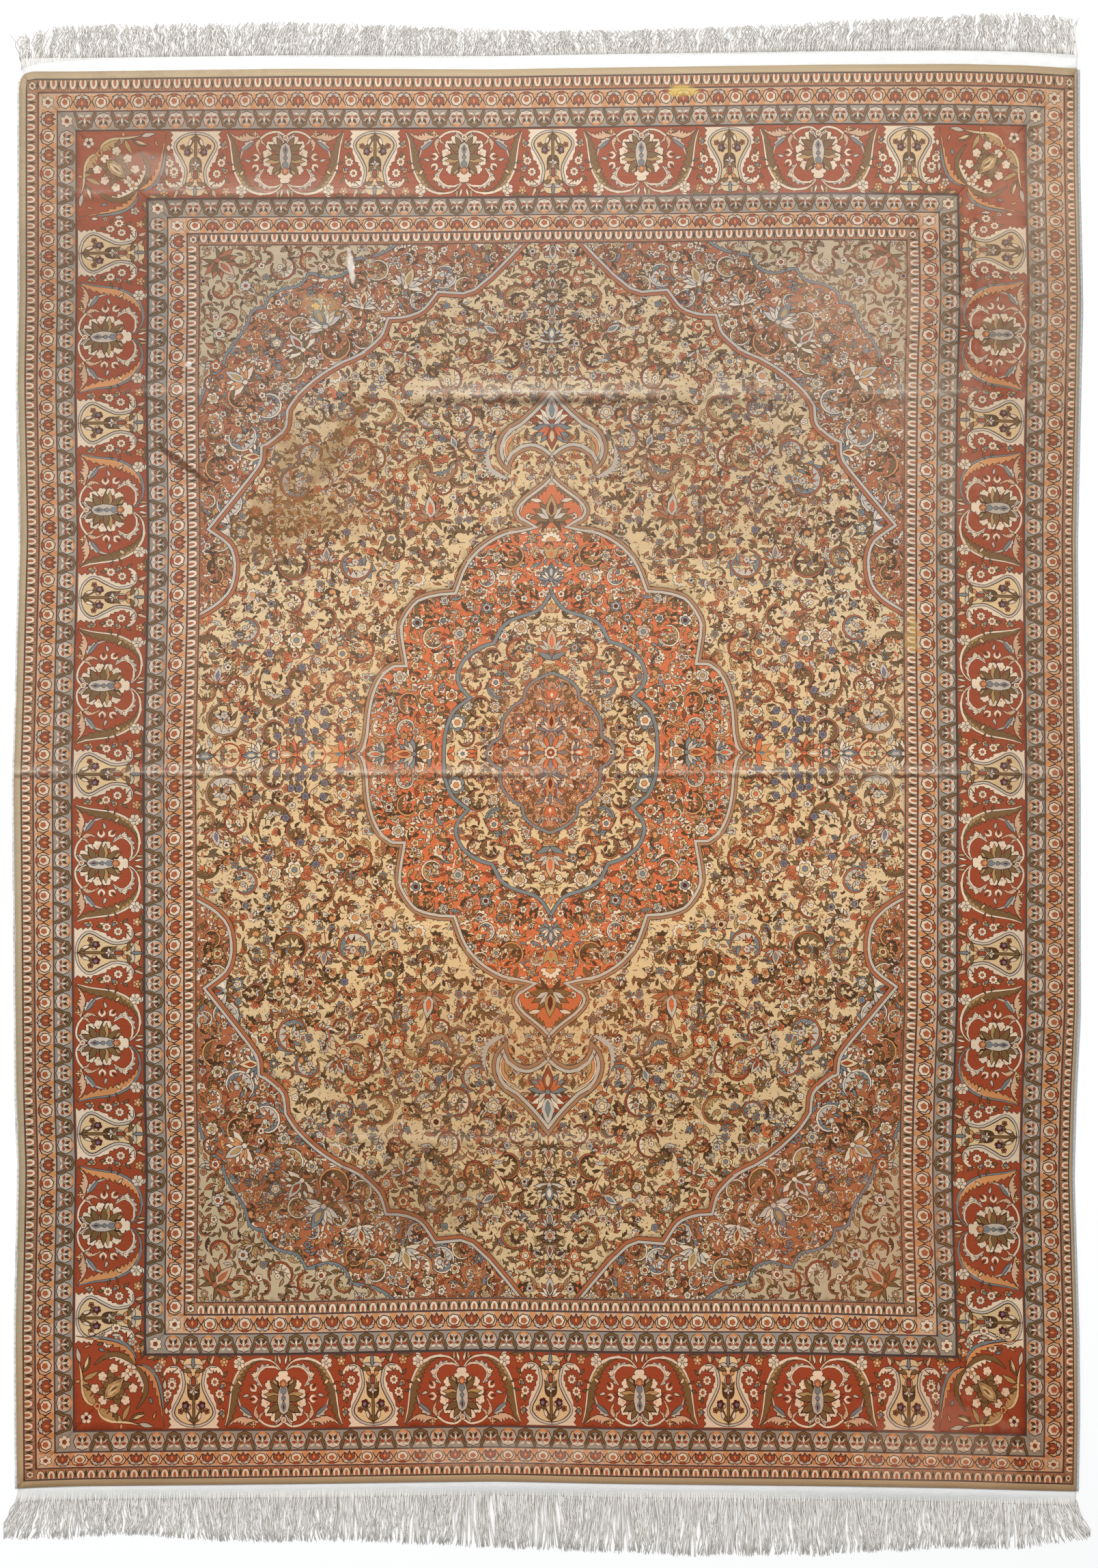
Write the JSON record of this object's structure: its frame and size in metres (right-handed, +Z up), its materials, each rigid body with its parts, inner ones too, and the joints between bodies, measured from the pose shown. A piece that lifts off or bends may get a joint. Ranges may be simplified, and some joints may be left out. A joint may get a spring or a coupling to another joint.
{
  "type": "hereke silk rug",
  "caption": "Flat rectangular silk pile rug with a medallion design, narrow flat-woven ends, overcast side cords and a warp fringe at each end.",
  "frame": {"origin": "under the middle of the whole rug with its fringes, on the surface it lies on", "axes": "+Z up out of the pile, +Y along the rug towards its top end, +X across it"},
  "size_m": [1.5858, 2.2612, 0.0084],
  "materials": {
    "silk_pile": "knotted silk pile with a soft sheen, patterned in rust, cream, apricot, olive and grey blue",
    "silk_foundation": "flat-woven off-white silk foundation",
    "selvedge_silk": "overcast pale silk cord",
    "fringe_silk": "loose plied off-white silk warps"
  },
  "bodies": {
    "root": {"rug": "silk_pile", "selvedge_left": "selvedge_silk", "selvedge_right": "selvedge_silk", "fringe_top": "fringe_silk", "fringe_bottom": "fringe_silk"}
  },
  "joints": []
}
